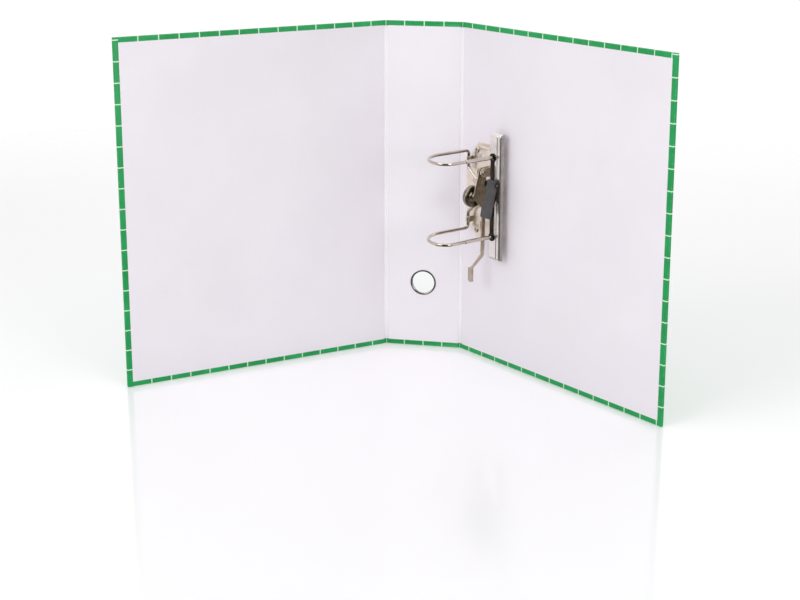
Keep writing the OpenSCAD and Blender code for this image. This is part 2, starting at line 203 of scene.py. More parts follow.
def grid_paper():
    """Green paper printed with a pale grid, rubbed lighter where it turns over an edge."""
    made, tree, shader, place = material("green_grid_paper")
    flat = node(tree, "ShaderNodeSeparateXYZ", {0: place.outputs["UV"]})
    wander = noise(tree, place.outputs["Object"], 160, 2)
    drift = maths(tree, "MULTIPLY_ADD", wander, LINE_WANDER * MM, -LINE_WANDER * MM / 2)
    across = line_mask(tree, maths(tree, "ADD", flat.outputs[0], drift), LINE_W * MM, LINE_BLUR * MM)
    along = line_mask(tree, maths(tree, "ADD", flat.outputs[1], drift), LINE_W * MM, LINE_BLUR * MM)
    lines = maths(tree, "MAXIMUM", across, along)
    cloud = noise(tree, place.outputs["Object"], 45, 4)
    speck = noise(tree, place.outputs["Object"], 2600, 2)
    green = mix(tree, remap(tree, cloud, 0.3, 0.7, 0, 1), srgb(8, 149, 74), srgb(16, 163, 86))
    green = mix(tree, remap(tree, speck, 0.62, 0.8, 0, 0.35), green, srgb(48, 178, 106))
    colour = mix(tree, lines, green, srgb(214, 238, 216))
    worn = node(tree, "ShaderNodeAttribute", attribute_name="wear").outputs["Fac"]
    patches = remap(tree, noise(tree, place.outputs["Object"], 420, 4, 0.7), 0.5, 0.72, 0.05, 0.85)
    rubbed = maths(tree, "MULTIPLY", worn, patches)
    colour = mix(tree, rubbed, colour, srgb(150, 196, 160))
    ground = maths(tree, "MULTIPLY_ADD", noise(tree, place.outputs["Object"], 700, 3), 0.2, 0.34)
    texture = bump(tree, noise(tree, place.outputs["Object"], 1800, 3), 0.00004, 0.5)
    feed(tree, shader, Base_Color=colour, Roughness=ground, Normal=texture)
    shader.inputs["Specular IOR Level"].default_value = 0.45
    return made


def white_paper(name, light, shade, rough):
    """Off-white paper with fine upright fibres and a faint wave."""
    made, tree, shader, place = material(name)
    spot = place.outputs["Object"]
    cloud = noise(tree, spot, 9, 3)
    fibre = noise(tree, spot, 900, 4, 0.65, stretch=(1, 1, 0.35))
    colour = mix(tree, remap(tree, cloud, 0.3, 0.7, 0, 1), light, shade)
    colour = mix(tree, remap(tree, fibre, 0.55, 0.8, 0, 0.3), colour, srgb(214, 210, 214))
    ground = maths(tree, "MULTIPLY_ADD", fibre, 0.16, rough)
    waves = bump(tree, noise(tree, spot, 28, 2), 0.0004, 0.08)
    texture = bump(tree, fibre, 0.00005, 0.5, waves)
    feed(tree, shader, Base_Color=colour, Roughness=ground, Normal=texture)
    shader.inputs["Specular IOR Level"].default_value = 0.35
    return made


def greyboard():
    """Raw board, with fibres and the thin plies that show on a cut edge."""
    made, tree, shader, place = material("greyboard")
    spot = place.outputs["Object"]
    fibre = noise(tree, spot, 1500, 5, 0.7, stretch=(1, 1, 0.3))
    ply = noise(tree, spot, 300, 3, stretch=(1, 6, 0.1))
    colour = mix(tree, fibre, srgb(120, 114, 104), srgb(168, 161, 148))
    colour = mix(tree, remap(tree, ply, 0.5, 0.75, 0, 0.6), colour, srgb(98, 93, 86))
    feed(tree, shader, Base_Color=colour, Normal=bump(tree, fibre, 0.00015, 0.8),
         Roughness=remap(tree, fibre, 0.2, 0.8, 0.8, 0.95))
    return made


def metal(name, light, dark, rough, spread, streak=None, scratch=0.4, pits=0.0):
    """Plated or bare metal: cloudy tone, roughness that varies, and fine marks along the streak direction."""
    made, tree, shader, place = material(name)
    spot = place.outputs["Object"]
    cloud = noise(tree, spot, 130, 4)
    marks = noise(tree, spot, 1400, 3, 0.6, stretch=streak or (1, 1, 1))
    stain = noise(tree, spot, 420, 5, 0.7)
    colour = mix(tree, remap(tree, cloud, 0.3, 0.7, 0, 1), light, dark)
    colour = mix(tree, remap(tree, stain, 0.62, 0.8, 0, pits), colour, srgb(96, 84, 70))
    smooth = maths(tree, "MULTIPLY_ADD", marks, spread, rough - spread / 2)
    ground = maths(tree, "ADD", smooth, remap(tree, stain, 0.55, 0.8, 0, spread))
    feed(tree, shader, Base_Color=colour, Roughness=ground, Normal=bump(tree, marks, 0.00002, scratch))
    shader.inputs["Metallic"].default_value = 1.0
    return made


def plastic(name, light, dark, rough):
    """Moulded plastic with a fine grain and a few pale scuffs."""
    made, tree, shader, place = material(name)
    spot = place.outputs["Object"]
    grain = noise(tree, spot, 2400, 3)
    cloud = noise(tree, spot, 150, 3)
    colour = mix(tree, remap(tree, cloud, 0.3, 0.7, 0, 1), light, dark)
    scuffs = remap(tree, noise(tree, spot, 900, 4, 0.7), 0.66, 0.8, 0, 0.25)
    colour = mix(tree, scuffs, colour, srgb(120, 124, 130))
    feed(tree, shader, Base_Color=colour, Normal=bump(tree, grain, 0.00004, 0.6),
         Roughness=maths(tree, "MULTIPLY_ADD", cloud, 0.2, rough))
    return made


UPRIGHT, ROLLED = (1, 1, 0.04), (1, 1, 0.1)  # scale of the marks along x, y and z: long and short streaks
GRID = grid_paper()
LINING = white_paper("white_lining_paper", srgb(236, 231, 237), srgb(232, 227, 233), 0.5)
# the hinge's inner paper is given a whiter tone than the lining: a painted highlight along the bead
CREASE_HIGHLIGHT_PAPER = white_paper("crease_paper_painted_highlight", srgb(243, 239, 244), srgb(238, 234, 239), 0.46)
BOARD = greyboard()
NICKEL = metal("nickel_plated_steel", srgb(252, 243, 228), srgb(241, 230, 212), 0.3, 0.12, None, 0.3, 0.12)
RIVET = metal("rivet_steel", srgb(228, 219, 204), srgb(204, 192, 174), 0.26, 0.14, None, 0.4, 0.3)
LEVER = metal("plated_lever_steel", srgb(212, 200, 183), srgb(186, 173, 154), 0.28, 0.12, None, 0.3, 0.16)
WIRE = metal("bright_nickel_wire", srgb(216, 207, 195), srgb(196, 186, 173), 0.1, 0.06, None, 0.2, 0.15)
BAR = metal("brushed_bar_steel", srgb(254, 251, 245), srgb(245, 240, 232), 0.28, 0.12, UPRIGHT, 0.35, 0.06)
ROLLER = metal("dark_polished_steel", srgb(182, 175, 160), srgb(132, 125, 110), 0.2, 0.1, None, 0.3, 0.1)
RING = metal("bright_ring_plate", srgb(196, 196, 194), srgb(172, 172, 170), 0.14, 0.06, None, 0.25, 0.1)
# darker steel for the bar's side flanges: painted shade, for the shadow under the bar that they reflect
SHADED_FLANGE = metal("bar_edge_painted_shade", srgb(182, 177, 172), srgb(160, 155, 150), 0.4, 0.16, UPRIGHT, 0.35, 0.1)
SPRING = metal("tempered_spring_steel", srgb(150, 144, 136), srgb(96, 90, 84), 0.32, 0.16, ROLLED, 0.5, 0.5)
# very dark steel, for the lock strip and the latch's lugs
DARK = metal("very_dark_steel", srgb(62, 60, 58), srgb(40, 38, 36), 0.36, 0.16, ROLLED, 0.4, 0.2)
BLACK = plastic("dark_grey_plastic", srgb(75, 73, 72), srgb(62, 60, 59), 0.36)


# ---------------------------------------------------------------- mesh helpers

def finish_mesh(name, mesh_data, place, materials, body, replaced=(), smooth=True):
    """Turns a bmesh in millimetres into a shown piece that rides on its body."""
    mesh_data.transform(place)
    if place.determinant() < 0:
        bmesh.ops.reverse_faces(mesh_data, faces=mesh_data.faces)
    mesh = bpy.data.meshes.new(name)
    mesh_data.to_mesh(mesh)
    mesh_data.free()
    for f in mesh.polygons:
        f.use_smooth = smooth
    for m in materials:
        mesh.materials.append(m)
    made = bpy.data.objects.new(name, mesh)
    bpy.context.scene.collection.objects.link(made)
    if body:
        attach(made, body)
    if replaced:
        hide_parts(*replaced)
    return made


def rounded(obj, width, segments=3, angle=30):
    """Rounds the sharp edges of a piece and evens its shading."""
    edge = obj.modifiers.new("edge", "BEVEL")
    edge.width = width * MM
    edge.segments = segments
    edge.limit_method = "ANGLE"
    edge.angle_limit = math.radians(angle)
    edge.miter_outer = "MITER_ARC"
    obj.modifiers.new("shade", "WEIGHTED_NORMAL").keep_sharp = True


def refine(name, surface, width):
    """Keeps a CAD node, with its tessellation tidied, its edges rounded and a new finish."""
    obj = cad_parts[name]
    obj.data.materials.clear()
    obj.data.materials.append(surface)
    for f in obj.data.polygons:
        f.use_smooth = True
        f.material_index = 0
    obj.modifiers.new("join", "WELD").merge_threshold = 0.000002
    flat = obj.modifiers.new("flat", "DECIMATE")
    flat.decimate_type = "DISSOLVE"
    flat.angle_limit = math.radians(0.4)
    rounded(obj, width, 2, 32)


def revolve(rings, centre, axis_u, axis_v, axis_w, segments=48, closed=False):
    """Turned shape: rings are (radius, height along axis_w). A zero radius closes the shape with a point."""
    bm = bmesh.new()
    loops = []
    for radius, height in rings:
        base = Vector(centre) + axis_w * height
        if radius < 1e-6:
            loops.append([bm.verts.new(base)])
            continue
        loops.append([
            bm.verts.new(base + (axis_u * math.cos(a) + axis_v * math.sin(a)) * radius)
            for a in (2 * math.pi * i / segments for i in range(segments))
        ])
    pairs = list(zip(loops, loops[1:]))
    if closed:
        pairs.append((loops[-1], loops[0]))
    for low, high in pairs:
        for i in range(segments):
            j = (i + 1) % segments
            corners = [low[i % len(low)], low[j % len(low)], high[j % len(high)], high[i % len(high)]]
            unique = list(dict.fromkeys(corners))
            if len(unique) > 2:
                bm.faces.new(unique)
    return bm


def merge(*parts):
    """One bmesh from several."""
    whole = bmesh.new()
    for part in parts:
        copy = bpy.data.meshes.new("part")
        part.to_mesh(copy)
        part.free()
        whole.from_mesh(copy)
        bpy.data.meshes.remove(copy)
    bmesh.ops.recalc_face_normals(whole, faces=whole.faces)
    return whole


def fillet(points, radii, step=6.0):
    """Points along a polyline whose inner corners are rounded by circular arcs."""
    points = [Vector(p) for p in points]
    out = [points[0]]
    for i in range(1, len(points) - 1):
        a, b, c = points[i - 1], points[i], points[i + 1]
        u, v = (a - b).normalized(), (c - b).normalized()
        angle = u.angle(v)
        radius = radii[i - 1]
        reach = radius / math.tan(angle / 2)
        centre = b + (u + v).normalized() * (radius / math.sin(angle / 2))
        start, end = b + u * reach - centre, b + v * reach - centre
        turn = math.pi - angle
        count = max(2, round(math.degrees(turn) / step))
        for k in range(count + 1):
            t = k / count
            out.append(centre + start * (math.sin((1 - t) * turn) / math.sin(turn))
                       + end * (math.sin(t * turn) / math.sin(turn)))
    out.append(points[-1])
    return out


def tube(path, section, up):
    """Sweeps a closed section (pairs side, up) along a path of points, with flat ends."""
    bm = bmesh.new()
    rings = []
    side_hint = None
    for i, p in enumerate(path):
        ahead = (path[min(i + 1, len(path) - 1)] - path[max(i - 1, 0)]).normalized()
        if side_hint is None:
            side = ahead.cross(up).normalized()
        else:
            side = (side_hint - ahead * side_hint.dot(ahead)).normalized()
        side_hint = side
        over = side.cross(ahead)
        rings.append([bm.verts.new(p + side * s + over * o) for s, o in section])
    count = len(section)
    for a, b in zip(rings, rings[1:]):
        for i in range(count):
            j = (i + 1) % count
            bm.faces.new((a[i], a[j], b[j], b[i]))
    bm.faces.new(list(reversed(rings[0])))
    bm.faces.new(rings[-1])
    bmesh.ops.recalc_face_normals(bm, faces=bm.faces)
    return bm


def circle(radius, count=24):
    turns = [2 * math.pi * i / count for i in range(count)]
    return [(radius * math.cos(t), radius * math.sin(t)) for t in turns]


def arc(centre_x, centre_y, radius, start, end, count):
    """Points of an outline round part of a circle, from one turn in degrees to another."""
    turns = [math.radians(start + (end - start) * i / count) for i in range(count + 1)]
    return [(centre_x + radius * math.cos(t), centre_y + radius * math.sin(t)) for t in turns]


def prism(outline, low, high, lift):
    """Extrudes an outline between two heights. lift turns (x, y, height) into a point."""
    bm = bmesh.new()
    bottom = [bm.verts.new(lift(x, y, low)) for x, y in outline]
    top = [bm.verts.new(lift(x, y, high)) for x, y in outline]
    bm.faces.new(list(reversed(bottom)))
    bm.faces.new(top)
    for i in range(len(outline)):
        j = (i + 1) % len(outline)
        bm.faces.new((bottom[i], bottom[j], top[j], top[i]))
    bmesh.ops.recalc_face_normals(bm, faces=bm.faces)
    return bm


# ---------------------------------------------------------------- printed grid, unrolled over the case

def smoothstep(t):
    t = min(1.0, max(0.0, t))
    return t * t * (3 - 2 * t)


def grid_across(panel, across):
    """How far along the printed sheet a point lies, with the paper that the hinges take up."""
    if panel == "spine":
        return across
    if panel == "back":
        return BACK_START + across * COVER_RATE
    return -(FRONT_START + across * COVER_RATE)


def grid_up(across_sheet, height):
    """The sheet was laid a little askew, so its lines climb slightly along the case."""
    edge = HALF_SPINE + COVER_W
    return height + GRID_DROP + GRID_CLIMB * (edge - across_sheet) / (2 * edge)


def past_edge(distance, inward):
    """Unrolled distance past an edge line, for a point that far inside the edge and that far inward."""
    return inward + HALF_T + (distance if inward > 0 else -distance)


def paint_grid(bm, panel, sheet_of, side_edge=None):
    """UVs in metres that unroll the printed sheet round the top, bottom and side edges."""
    layer = bm.loops.layers.uv.new("sheet")
    for f in bm.faces:
        middle = f.calc_center_median()
        on_side = side_edge is not None and (
            abs(f.normal.x) > 0.7 or (middle.z > 0 and middle.x > side_edge - TURN_IN)
        )
        for corner in f.loops:
            x, z, n = corner.vert.co
            sheet = sheet_of(x)
            up = grid_up(sheet, z)
            if on_side:
                beyond = past_edge(side_edge - x, n) * math.copysign(1, sheet)
                sheet = sheet_of(side_edge) + beyond
            elif n > 0 or abs(f.normal.y) > 0.7:
                if middle.y > FILE_H / 2:
                    up = grid_up(sheet, FILE_H) + past_edge(FILE_H - z, n)
                else:
                    up = grid_up(sheet, 0) - past_edge(z, n)
            corner[layer].uv = (sheet * MM, up * MM)


# ---------------------------------------------------------------- the case: printed paper, linings and hinges

def paper_shell(low, high, side):
    """The printed sheet on one board: outer face, rounded edges and the strips turned in round it."""
    bm = bmesh.new()
    corners = {}
    for i, x in enumerate((low, high)):
        for j, z in enumerate((0, FILE_H)):
            for k, n in enumerate((-HALF_T, HALF_T)):
                corners[i, j, k] = bm.verts.new((x, z, n))
    quads = {
        "low": ((0, 0, 0), (0, 0, 1), (0, 1, 1), (0, 1, 0)),
        "high": ((1, 0, 0), (1, 1, 0), (1, 1, 1), (1, 0, 1)),
        "bottom": ((0, 0, 0), (1, 0, 0), (1, 0, 1), (0, 0, 1)),
        "top": ((0, 1, 0), (0, 1, 1), (1, 1, 1), (1, 1, 0)),
        "outer": ((0, 0, 0), (0, 1, 0), (1, 1, 0), (1, 0, 0)),
        "inner": ((0, 0, 1), (1, 0, 1), (1, 1, 1), (0, 1, 1)),
    }
    made = {name: bm.faces.new([corners[c] for c in quad]) for name, quad in quads.items()}
    open_sides = ["low"] if side else ["low", "high"]
    bmesh.ops.delete(bm, geom=[made[name] for name in open_sides], context="FACES_ONLY")
    round_edges = [e for e in bm.edges if len(e.link_faces) == 2]
    bmesh.ops.bevel(bm, geom=round_edges, offset=EDGE_R, segments=4, profile=0.5, affect="EDGES")
    cuts = [((0, TURN_IN, 0), (0, 1, 0)), ((0, FILE_H - TURN_IN, 0), (0, 1, 0))]
    if side:
        cuts.append(((high - TURN_IN, 0, 0), (1, 0, 0)))
    for point, normal in cuts:
        geom = list(bm.verts) + list(bm.edges) + list(bm.faces)
        bmesh.ops.bisect_plane(bm, geom=geom, dist=1e-5, plane_co=point, plane_no=normal)
    inside = []
    for f in bm.faces:
        middle = f.calc_center_median()
        clear = TURN_IN < middle.y < FILE_H - TURN_IN and (not side or middle.x < high - TURN_IN)
        if clear and middle.z > 0 and f.normal.z > 0.9:
            inside.append(f)
    bmesh.ops.delete(bm, geom=inside, context="FACES")
    bmesh.ops.recalc_face_normals(bm, faces=bm.faces)
    outer = max(bm.faces, key=lambda f: f.calc_area())
    if outer.normal.z > 0:
        bmesh.ops.reverse_faces(bm, faces=bm.faces)
    bm.normal_update()
    return bm


def mark_wear(obj, high, side):
    """Stores where the sheet turns over the board's edges, which is where it gets rubbed."""
    wear = obj.data.attributes.new("wear", "FLOAT", "POINT")
    for v, value in zip(obj.data.vertices, wear.data):
        x, z, n = side @ v.co
        gaps = [z, FILE_H - z] + ([high - x] if high else [])
        turned = (EDGE_R - min(gaps)) / EDGE_R
        lifted = (abs(n) - HALF_T + EDGE_R) / EDGE_R
        value.value = min(1.0, max(0.0, 1.6 * min(turned, lifted)))


def turned_strip(name, place, high, body, panel):
    """The side strip, folded in last, so that it lies over the top and bottom strips."""
    inner, outer = high - TURN_IN, high - EDGE_R
    sunk, lift, soft = 0.1, 0.07, 0.05
    outline = [(inner, LAP), (outer, LAP), (outer, FILE_H - LAP), (inner, FILE_H - LAP)]
    bm = prism(outline, HALF_T - sunk, HALF_T + lift, lambda x, y, h: (x, y, h))
    top = [e for e in bm.edges if all(v.co.z > HALF_T for v in e.verts)]
    bmesh.ops.bevel(bm, geom=top, offset=soft, segments=2, profile=0.5, affect="EDGES")
    bm.normal_update()
    paint_grid(bm, panel, lambda x: grid_across(panel, x), high)
    finish_mesh(name, bm, place, [GRID], body)


def paper_cover(name, panel, place, low, high, body, replaced, side):
    bm = paper_shell(low, high, side)
    paint_grid(bm, panel, lambda x: grid_across(panel, x), high if side else None)
    obj = finish_mesh(name, bm, place, [GRID], body, [replaced])
    mark_wear(obj, high if side else None, place.inverted())
    thick = obj.modifiers.new("thick", "SOLIDIFY")
    thick.thickness = SKIN * MM
    thick.offset = -1
    obj.modifiers.new("shade", "WEIGHTED_NORMAL")
    return obj


def drill(obj, place, centre, radius):
    """Cuts a round hole through a piece."""
    reach = 5
    bm = revolve([(0, -reach), (radius, -reach), (radius, reach), (0, reach)], centre, X, Z, N, 64)
    bm.transform(place)
    bmesh.ops.recalc_face_normals(bm, faces=bm.faces)
    mesh = bpy.data.meshes.new("cutter")
    bm.to_mesh(mesh)
    bm.free()
    cutter = bpy.data.objects.new("cutter", mesh)
    bpy.context.scene.collection.objects.link(cutter)
    hole = obj.modifiers.new("hole", "BOOLEAN")
    hole.object = cutter
    hole.operation = "DIFFERENCE"
    hole.solver = "EXACT"
    view = bpy.context.evaluated_depsgraph_get()
    cut = bpy.data.meshes.new_from_object(obj.evaluated_get(view))
    obj.modifiers.clear()
    obj.data = cut
    bpy.data.objects.remove(cutter)
    for f in obj.data.polygons:
        f.use_smooth = False


def lining(name, place, low, high, body, replaced):
    """A pasted sheet whose edges lap a little over the strips turned in."""
    bottom, top = TURN_IN - LAP, FILE_H - TURN_IN + LAP
    sunk, soft = 0.3, 0.06
    outline = [(low, bottom), (high, bottom), (high, top), (low, top)]
    bm = prism(outline, HALF_T - sunk, LINING_N, lambda x, y, h: (x, y, h))
    sharp = [e for e in bm.edges if all(v.co.z > HALF_T for v in e.verts)]
    bmesh.ops.bevel(bm, geom=sharp, offset=soft, segments=2, profile=0.5, affect="EDGES")
    return finish_mesh(name, bm, place, [LINING], body, [replaced])


def groove(across, level):
    """Distance of the outer paper from the middle of the case, pressed in between two boards."""
    rise = smoothstep((abs(across) / CREASE - GROOVE_SHARE) / (1 - GROOVE_SHARE))
    return GROOVE_N + (level - GROOVE_N) * rise


def hinge_bead(across, level):
    """Height of the inner paper: the crease is pressed in from outside, so a low bead stands up inside."""
    reach = abs(across) / CREASE
    hump = math.cos(min(1.0, reach / BEAD_SHARE) * math.pi / 2) ** 2
    foot = smoothstep((1 - reach) / (1 - BEAD_SHARE))
    return level + (BEAD_RISE + BEAD_FOOT) * hump - BEAD_FOOT * foot


def crease(name, panel, turn_sign, replaced):
    """The hinge: papers without a board, pressed to a bead and bent by the opening angle about the fold."""
    count = 48
    stations = [-CREASE + 2 * CREASE * i / count for i in range(count + 1)]
    edge = [0, 0.25, 0.8, TURN_IN - 0.05, TURN_IN]
    heights = edge + [40, 100, 170, 240, 300] + [FILE_H - z for z in reversed(edge)]
    last_s, last_z = count, len(heights) - 1
    strip = len(edge) - 1  # rows under the strips turned in at the top and bottom
    squeeze = {0: 0.55, 1: 0.9, last_z - 1: 0.9, last_z: 0.55}  # the hinge's rounded ends
    line_at, stretch = 2.5, 1.2  # where the spine's last printed line lies, and how the print is pulled there
    fold = Vector((turn_sign * HALF_SPINE, 0, 0))
    bm = bmesh.new()

    def place(s, z, n):
        angle = -turn_sign * OPEN_ANGLE * smoothstep((s + CREASE) / (2 * CREASE))
        point = Vector((turn_sign * s, -n, 0))
        point.rotate(Matrix.Rotation(angle, 3, "Z"))
        return fold + point + Vector((0, 0, z))

    def sheet_place(s):
        past_line = s + CREASE - line_at
        if past_line <= 0:
            return turn_sign * (HALF_SPINE + past_line * stretch)
        cover_starts = abs(grid_across(panel, CREASE))
        return turn_sign * (HALF_SPINE + (cover_starts - HALF_SPINE) * past_line / (2 * CREASE - line_at))

    layer = bm.loops.layers.uv.new("sheet")
    grid = {}
    for i, s in enumerate(stations):
        for j, z in enumerate(heights):
            narrow = squeeze.get(j, 1.0)
            paper = LINING_N if strip <= j <= last_z - strip else HALF_T
            grid[i, j, 1] = bm.verts.new(place(s, z, hinge_bead(s, paper) * narrow))
            grid[i, j, 0] = bm.verts.new(place(s, z, -groove(s, HALF_T) * narrow))

    def flat(key):
        i, j, inner = key
        sheet, z = sheet_place(stations[i]), heights[j]
        if not inner:
            return sheet * MM, grid_up(sheet, z) * MM
        if z > FILE_H / 2:
            return sheet * MM, (grid_up(sheet, FILE_H) + 2 * HALF_T + FILE_H - z) * MM
        return sheet * MM, (grid_up(sheet, 0) - 2 * HALF_T - z) * MM

    def quad(keys, index):
        f = bm.faces.new([grid[k] for k in keys])
        f.material_index = index
        for corner, key in zip(f.loops, keys):
            corner[layer].uv = flat(key)

    for i in range(last_s):
        for j in range(last_z):
            # rows between the turned-in strips take the whiter crease paper, a painted highlight on the bead
            white = strip <= j < last_z - strip
            quad([(i, j, 1), (i + 1, j, 1), (i + 1, j + 1, 1), (i, j + 1, 1)], 1 if white else 0)
            quad([(i, j, 0), (i, j + 1, 0), (i + 1, j + 1, 0), (i + 1, j, 0)], 0)
        for j in (0, last_z):
            quad([(i, j, 0), (i + 1, j, 0), (i + 1, j, 1), (i, j, 1)], 0)
    for j in range(last_z):
        for i in (0, last_s):
            quad([(i, j, 0), (i, j + 1, 0), (i, j + 1, 1), (i, j, 1)], 0)
    bmesh.ops.recalc_face_normals(bm, faces=bm.faces)
    obj = finish_mesh(name, bm, Matrix.Scale(MM, 4), [GRID, CREASE_HIGHLIGHT_PAPER], None, [replaced])
    ends = [place(s, FILE_H / 2, 0) * MM for s in (-CREASE, CREASE)]
    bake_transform(obj)


edge_of_spine = HALF_SPINE - CREASE
for panel, place in (("back", BACK), ("front", FRONT)):
    body = panel + "_cover"
    paper_cover(body + "_sheet", panel, place, CREASE, COVER_W, body, body + "_paper", True)
spine_paper = paper_cover(
    "spine_sheet", "spine", SPINE, -edge_of_spine, edge_of_spine, "spine", "spine_cover_paper", False
)
drill(spine_paper, SPINE, (0, THUMB_Z, 0), THUMB_HOLE_R)

turned_strip("back_side_strip", BACK, COVER_W, "back_cover", "back")
turned_strip("front_side_strip", FRONT, COVER_W, "front_cover", "front")

inner_edge = COVER_W - TURN_IN + LAP
lining("back_lining_sheet", BACK, CREASE, inner_edge, "back_cover", "back_lining")
lining("front_lining_sheet", FRONT, CREASE, inner_edge, "front_cover", "front_lining")
spine_white = lining("spine_lining_sheet", SPINE, -edge_of_spine, edge_of_spine, "spine", "spine_lining")
drill(spine_white, SPINE, (0, THUMB_Z, 0), THUMB_HOLE_R)
crease("back_crease", "back", 1, "back_hinge_strip")
crease("front_crease", "front", -1, "front_hinge_strip")

for board in ("spine_board", "front_board", "back_board"):
    refine(board, BOARD, 0.15)


# ---------------------------------------------------------------- thumb ring

flange = (
    [(12.0, 1.15), (11.5, 0.9), (11.5, -1.2)]
    + arc(12.4, -1.3, 0.9, 180, 270, 6)
    + arc(14.55, -1.75, 0.45, 270, 440, 8)
    + [(13.6, -1.42), (12.0, -1.4)]
)
eyelet = revolve(flange, (0, THUMB_Z, 0), X, Z, N, 96, closed=True)
finish_mesh("thumb_ring_flange", eyelet, SPINE, [RING], "spine", ["thumb_ring"])
rolled = (
    [(12.02, 1.42), (12.02, 1.2), (11.52, 1.0), (11.52, 1.5)]
    + arc(12.45, 1.35, 0.85, 165, 80, 8)
    + arc(13.0, 1.75, 0.42, 75, -60, 8)
)
lip = revolve(rolled, (0, THUMB_Z, 0), X, Z, N, 96, closed=True)
finish_mesh("thumb_ring_lip", lip, SPINE, [RING], "spine", ["thumb_ring_washer"])


# ---------------------------------------------------------------- mechanism

# Turned outlines are (radius, height) pairs.
CAP = 28  # sides of a rivet's head
HOLLOW_HEAD = [
    (0, 0.9), (1.05, 0.9), (1.1, 2.1), (1.3, 2.4), (1.7, 2.5),
    (2.3, 2.42), (2.85, 2.15), (3.15, 1.8), (3.2, 1.6), (3.1, 1.5),
]
FLAT_HEAD = [(2.0, -2.8), (4.0, -2.85), (4.4, -2.95), (4.5, -3.15), (4.3, -3.35), (3.2, -3.48), (0, -3.5)]
rivets = [revolve(HOLLOW_HEAD + FLAT_HEAD, (u, z, 0), X, Z, N, CAP) for u, z in RIVET_PLACES]
finish_mesh("case_rivets", merge(*rivets), MECH, [RIVET], "back_cover", ["mechanism_rivets"])

SOCKET = [(0, 42.5), (1.1, 42.5), (1.15, 45.75), (1.3, 45.97), (1.55, 46.0), (1.8, 45.85), (1.9, 45.5)]
COLLAR = [(1.9, 3.2), (1.98, 2.6), (2.25, 2.15), (2.8, 2.0), (2.95, 1.8), (2.95, 1.55)]
STUB = [(1.9, 1.5), (1.9, 0.05), (0, 0.02)]
for name, z in (("upper_post", POST_Z), ("lower_post", -POST_Z)):
    post = revolve(SOCKET + COLLAR + STUB, (POST_U, z, 0), X, Z, N, 40)
    finish_mesh(name + "_tube", post, MECH, [WIRE], "back_cover", [name])

half = [
    (POST_U, POST_Z, BUTT_N), (POST_U, POST_Z, ARCH_N), (PIVOT_U, POST_Z, ARCH_N),
    (PIVOT_U, POST_Z, PIVOT_N), (PIVOT_U, CRANK_OUT_Z, PIVOT_N), (CRANK_U, CRANK_Z, CRANK_N),
]
corners = half + [(u, -z, n) for u, z, n in reversed(half)]
arch = tube(fillet(corners, ARCH_BENDS + ARCH_BENDS[::-1], 5), circle(WIRE_R), Z)
finish_mesh("arches", arch, MECH, [WIRE], "arches", ["arch_wire"])
rounded(bpy.data.objects["arches"], 0.35, 3, 60)


def roller_profile():
    """Dished disc with a turned hub and a rounded tread."""
    tread = 0.8
    rim = arc(ROLLER_R - tread, ROLLER_RIGHT - tread, tread, 90, 0, 5)
    rim += arc(ROLLER_R - tread, ROLLER_LEFT + tread, tread, 0, -90, 5)
    dish = [(9.2, 0.0), (8.6, 0.35), (7.4, 0.8), (5.8, 1.0), (4.6, 0.9), (4.3, 0.35), (3.9, 0.15), (0, 0.15)]
    right_face = [(r, ROLLER_RIGHT - d) for r, d in reversed(dish)]
    left_face = [(r, ROLLER_LEFT + d) for r, d in dish]
    return right_face + rim + left_face


disc = revolve(roller_profile(), ROLLER_AT, Z, N, X, 72)
finish_mesh("roller_disc", disc, MECH, [ROLLER], "roller", ["roller"])

axle_head = [(0, 34.6), (1.4, 34.62), (2.4, 34.8), (3.0, 35.1), (3.2, 35.45), (3.15, 35.7)]
axle_shank = [(2.0, 35.72), (2.0, 42.0), (0, 42.0)]
axle = revolve(axle_head + axle_shank, ROLLER_AT, Z, N, X, CAP)
finish_mesh("roller_axle", axle, MECH, [RIVET], "lever", ["roller_rivet"])

pin_head = [(0, 38.45), (1.6, 38.5), (2.6, 38.65), (3.0, 38.95), (3.0, 39.3)]
pin_shank = [(2.0, 39.3), (2.0, 46.7)]
pin_end = [(3.0, 46.7), (3.0, 47.05), (2.75, 47.35), (2.1, 47.5)]
pin_hollow = [(1.5, 47.4), (1.3, 47.0), (1.25, 45.6), (0, 45.6)]
hinge_pin = revolve(pin_head + pin_shank + pin_end + pin_hollow, LEVER_PIN, Z, N, X, CAP)
finish_mesh("lever_hinge_pin", hinge_pin, MECH, [RIVET], "back_cover", ["lever_pin"])

LATCH = [
    (18.5, 13.1), (18.5, 15.3), (8, 17.5), (-14, 23.5), (-17.5, 24.1),
    (-19, 23.1), (-19, 21.1), (-15, 19.5), (8, 14.2), (11, 13.1),
]
LATCH_LEFT, LATCH_RIGHT = 57.45, 70.05
LUG_LEFTS, LUG_T = (55.95, 70.35), 1.2
shape = prism(LATCH, LATCH_LEFT, LATCH_RIGHT, lambda z, n, u: (u, z, n))
rounded(finish_mesh("lock_latch", shape, MECH, [BLACK], "latch", ["latch"]), 0.7, 4, 12)


def bar_section():
    """Middle line of the folded bar, as (u, n): left flange, top with a pressed line, and right flange."""
    left = [(56.1, 6.5), (56.1, 9.5), (56.2, 10.0), (56.45, 10.35), (56.85, 10.55), (57.4, BAR_TOP)]
    left += [(POST_U, BAR_TOP), (65.5, BAR_TOP)]
    line = [(66.3, BAR_TOP), (66.6, 10.45), (66.9, 10.15), (67.3, 10.15), (67.6, 10.45), (67.9, BAR_TOP)]
    right = [(69.9, BAR_TOP), (70.5, 10.5), (70.95, 10.25), (71.25, 9.85), (71.38, 9.3), (71.4, 6.5)]
    return left + line + right


